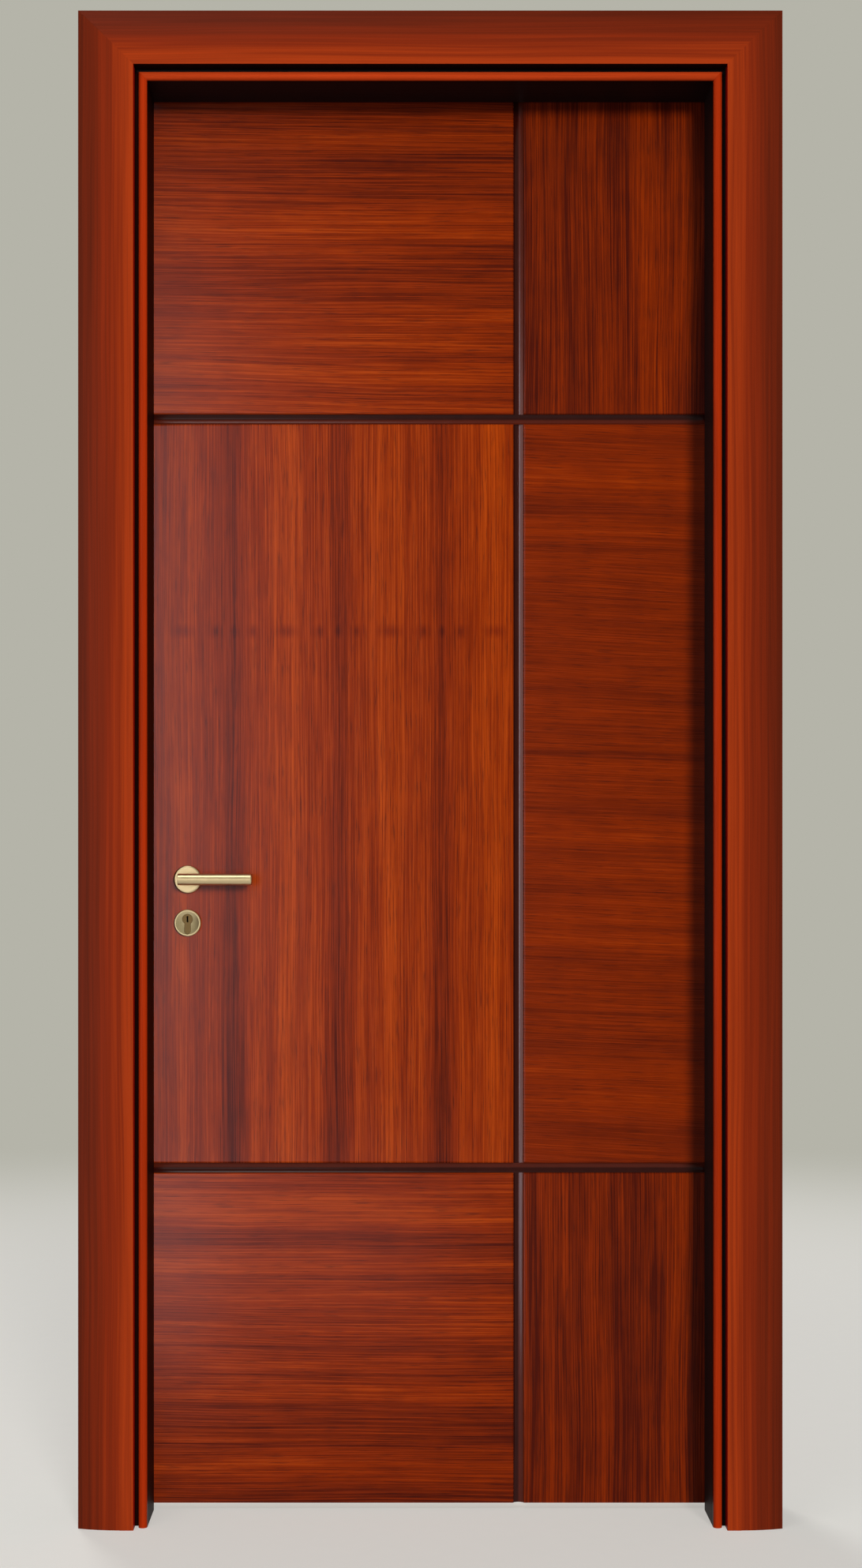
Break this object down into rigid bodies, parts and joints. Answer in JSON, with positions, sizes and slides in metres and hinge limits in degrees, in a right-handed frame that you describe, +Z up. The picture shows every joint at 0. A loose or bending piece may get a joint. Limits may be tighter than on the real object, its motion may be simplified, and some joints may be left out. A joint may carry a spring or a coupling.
{
  "type": "panelled front door with frame",
  "caption": "Panelled flush door in its frame: veneered leaf with dark grooves, architraves with a bead, brass lever, key cylinder, latch, dead bolt and butt hinges.",
  "frame": {"origin": "on the floor, at the middle of the width and of the overall depth, inside lever included", "axes": "+Z up, +X towards the hinge side, +Y from the outside face towards the room that the leaf opens into"},
  "size_m": [1.118, 0.2214, 2.409],
  "materials": {
    "casing_wood": "satin lacquer over red-brown stain",
    "lining_wood": "dark stained, satin lacquer",
    "leaf_veneer": "glossy lacquered veneer",
    "core_board": "raw board",
    "lipping_wood": "satin lacquer",
    "groove_bronze": "glossy dark bronze",
    "seal_rubber": "matte",
    "satin_brass": "satin champagne",
    "zinc_steel": "zinc plated",
    "satin_steel": "satin"
  },
  "bodies": {
    "frame": {"lock_jamb": "lining_wood", "hinge_jamb": "lining_wood", "head_jamb": "lining_wood", "lock_bead": "casing_wood", "hinge_bead": "casing_wood", "head_bead": "casing_wood", "front_architrave_left": "casing_wood", "front_architrave_right": "casing_wood", "front_architrave_head": "casing_wood", "back_architrave_left": "casing_wood", "back_architrave_right": "casing_wood", "back_architrave_head": "casing_wood", "lock_seal": "seal_rubber", "hinge_seal": "seal_rubber", "head_seal": "seal_rubber", "strike_plate": "satin_steel", "hinge_frame_plate_top": "satin_steel", "hinge_frame_plate_middle": "satin_steel", "hinge_frame_plate_bottom": "satin_steel", "hinge_pins": "satin_steel"},
    "leaf": {"leaf_core": "core_board", "lock_lipping": "lipping_wood", "hinge_lipping": "lipping_wood", "front_panel_top_wide": "leaf_veneer", "front_panel_top_narrow": "leaf_veneer", "front_panel_middle_wide": "leaf_veneer", "front_panel_middle_narrow": "leaf_veneer", "front_panel_bottom_wide": "leaf_veneer", "front_panel_bottom_narrow": "leaf_veneer", "back_panel_top_wide": "leaf_veneer", "back_panel_top_narrow": "leaf_veneer", "back_panel_middle_wide": "leaf_veneer", "back_panel_middle_narrow": "leaf_veneer", "back_panel_bottom_wide": "leaf_veneer", "back_panel_bottom_narrow": "leaf_veneer", "front_strip_upright": "groove_bronze", "front_strip_upper": "groove_bronze", "front_strip_lower": "groove_bronze", "back_strip_upright": "groove_bronze", "back_strip_upper": "groove_bronze", "back_strip_lower": "groove_bronze", "hinge_leaf_plate_top": "satin_steel", "hinge_leaf_plate_middle": "satin_steel", "hinge_leaf_plate_bottom": "satin_steel", "lock_case": "zinc_steel", "lock_forend": "satin_steel", "cylinder_body": "satin_brass", "rose_outside": "satin_brass", "rose_inside": "satin_brass", "escutcheon_outside": "satin_brass", "escutcheon_inside": "satin_brass"},
    "lever": {"lever_outside": "satin_brass", "lever_inside": "satin_brass", "lever_spindle": "zinc_steel", "lock_follower": "zinc_steel"},
    "latch": {"latch_bolt": "satin_steel"},
    "key_plug": {"cylinder_plug": "satin_brass", "cylinder_cam": "zinc_steel"},
    "dead_bolt": {"dead_bolt": "satin_steel"}
  },
  "joints": [
    {"name": "leaf_swing", "type": "hinge", "parent": "frame", "child": "leaf", "pos_m": [0.4615, 0.05825, 1.16], "axis": [0, 0, -1], "range_deg": [0, 110]},
    {"name": "lever_turn", "type": "hinge", "parent": "leaf", "child": "lever", "pos_m": [-0.395, 0.02875, 1.03], "axis": [0, 1, 0], "range_deg": [0, 40], "stiffness_Nm_per_rad": 2, "springref_deg": -34.38},
    {"name": "latch_slide", "type": "slide", "parent": "leaf", "child": "latch", "axis": [1, 0, 0], "range_m": [0, 0.012]},
    {"name": "key_turn", "type": "hinge", "parent": "leaf", "child": "key_plug", "pos_m": [-0.395, 0.02875, 0.965], "axis": [0, 1, 0], "range_deg": [0, 360]},
    {"name": "dead_bolt_slide", "type": "slide", "parent": "leaf", "child": "dead_bolt", "axis": [-1, 0, 0], "range_m": [0, 0.02]}
  ],
  "couplings": [
    {"joint": "latch_slide", "follows": "lever_turn", "m_per_rad": 0.017188},
    {"joint": "key_turn", "follows": "dead_bolt_slide", "rad_per_m": 314.1}
  ]
}
